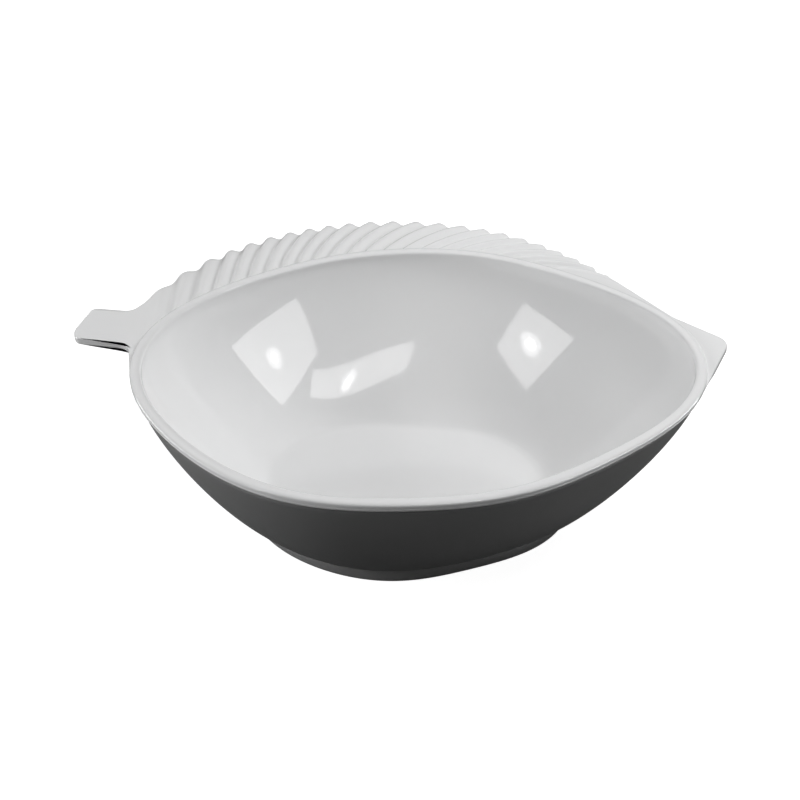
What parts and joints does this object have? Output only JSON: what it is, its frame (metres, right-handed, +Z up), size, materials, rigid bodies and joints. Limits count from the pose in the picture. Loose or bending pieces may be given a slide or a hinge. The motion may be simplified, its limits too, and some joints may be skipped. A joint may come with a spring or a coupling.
{
  "type": "leaf-shaped serving bowl",
  "caption": "Deep serving bowl for chips and dip, shaped like a leaf, with a stem tab, a pointed tip and a ribbed flange along the back; white inside, charcoal outside, on a foot ring.",
  "frame": {"origin": "on the table under the middle of the whole piece, at the height the foot stands on", "axes": "+X towards the pointed tip (the stem tab is at -X), +Y towards the ribbed flange at the back, +Z up out of the bowl"},
  "size_m": [0.3562, 0.2766, 0.097],
  "materials": {
    "white": "polished white moulding",
    "charcoal": "satin charcoal moulding",
    "grey": "satin grey moulding"
  },
  "bodies": {
    "root": {"bowl_liner": "white", "rim_bead": "white", "veined_flange": "white", "stem_tab": "white", "leaf_tip": "white", "outer_shell": "charcoal", "foot_ring": "grey"}
  },
  "joints": []
}
